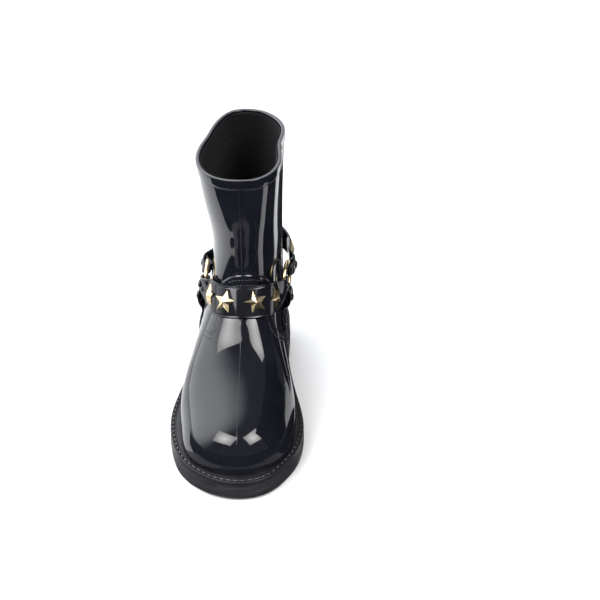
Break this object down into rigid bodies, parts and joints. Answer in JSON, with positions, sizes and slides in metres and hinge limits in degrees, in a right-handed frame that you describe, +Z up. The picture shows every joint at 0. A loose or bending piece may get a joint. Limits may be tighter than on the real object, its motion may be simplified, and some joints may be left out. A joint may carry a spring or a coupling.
{
  "type": "rubber rain boot",
  "caption": "Glossy pull-on ankle rain boot for the right foot, with a strap harness, wire rings and star studs, a textile lining and a lugged sole.",
  "frame": {"origin": "on the ground under the middle of the sole", "axes": "+Z up, toe towards -Y, lateral (outer) side towards -X, medial side towards +X"},
  "size_m": [0.1169, 0.2744, 0.241],
  "materials": {
    "gloss_pvc": "high-gloss moulded PVC, near black",
    "strap_pvc": "high-gloss PVC strap, near black",
    "sole_pvc": "satin moulded sole, fine striations",
    "lining_textile": "ribbed knitted textile, black",
    "gold_metal": "polished pale gold plating",
    "black_metal": "black lacquered rivet caps",
    "washer_steel": "zinc plated",
    "board": "cellulose insole board",
    "foam": "EVA foam"
  },
  "bodies": {
    "root": {"upper_shell": "gloss_pvc", "sock_lining": "lining_textile", "insole_board": "board", "footbed": "foam", "footbed_cover": "lining_textile", "topline_band": "gloss_pvc", "welt": "sole_pvc", "outsole": "sole_pvc", "heel_filler": "foam", "front_strap": "strap_pvc", "rear_strap": "strap_pvc", "lateral_lower_strap": "strap_pvc", "medial_lower_strap": "strap_pvc", "front_star_studs": "gold_metal", "rear_star_studs": "gold_metal", "front_stud_washers": "washer_steel", "rear_stud_washers": "washer_steel", "loop_rivets": "black_metal", "loop_rivet_burrs": "washer_steel", "anchor_rivets": "black_metal"},
    "lateral_ring_body": {"lateral_ring": "gold_metal"},
    "medial_ring_body": {"medial_ring": "gold_metal"}
  },
  "joints": [
    {"name": "lateral_ring_spin", "type": "hinge", "parent": "root", "child": "lateral_ring_body", "pos_m": [-0.0297, 0.03769, 0.1128], "axis": [-0.9862, -0.0022, 0.1658], "continuous": true},
    {"name": "medial_ring_spin", "type": "hinge", "parent": "root", "child": "medial_ring_body", "pos_m": [0.04336, 0.03651, 0.11205], "axis": [0.9847, -0.1742, 0.0078], "continuous": true}
  ]
}
